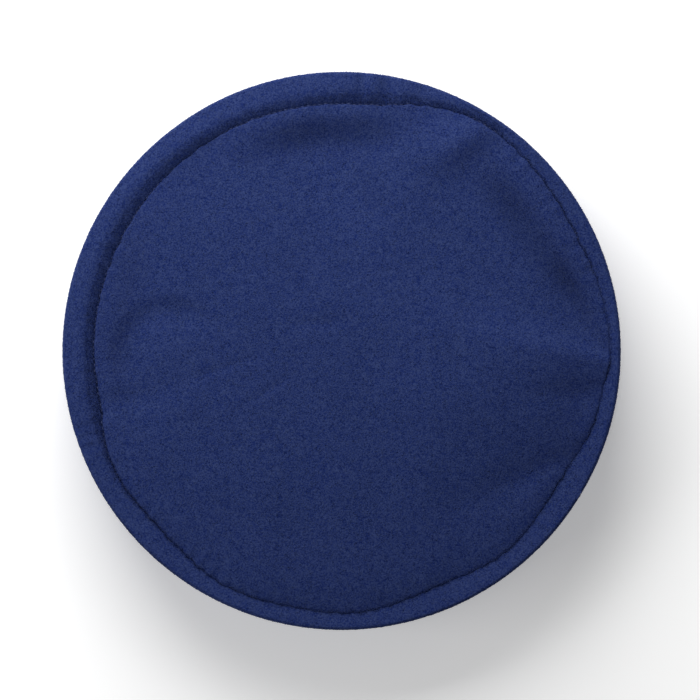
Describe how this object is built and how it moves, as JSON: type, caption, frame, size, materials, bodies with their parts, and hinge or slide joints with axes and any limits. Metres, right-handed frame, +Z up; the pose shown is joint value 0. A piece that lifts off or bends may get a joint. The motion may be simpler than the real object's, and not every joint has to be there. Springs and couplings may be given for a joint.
{
  "type": "pakol",
  "caption": "Soft round wool hat with a flat crown and a side rolled up into a thick ring, worn on the head.",
  "frame": {"origin": "middle of the hat's outline, on the surface that it rests on", "axes": "+Z up through the crown, +X to the right and +Y to the top of the view from above"},
  "size_m": [0.25, 0.25, 0.0504],
  "materials": {
    "wool_cloth": "matte brushed nap"
  },
  "bodies": {
    "root": {"crown": "wool_cloth", "rolled_side": "wool_cloth"}
  },
  "joints": []
}
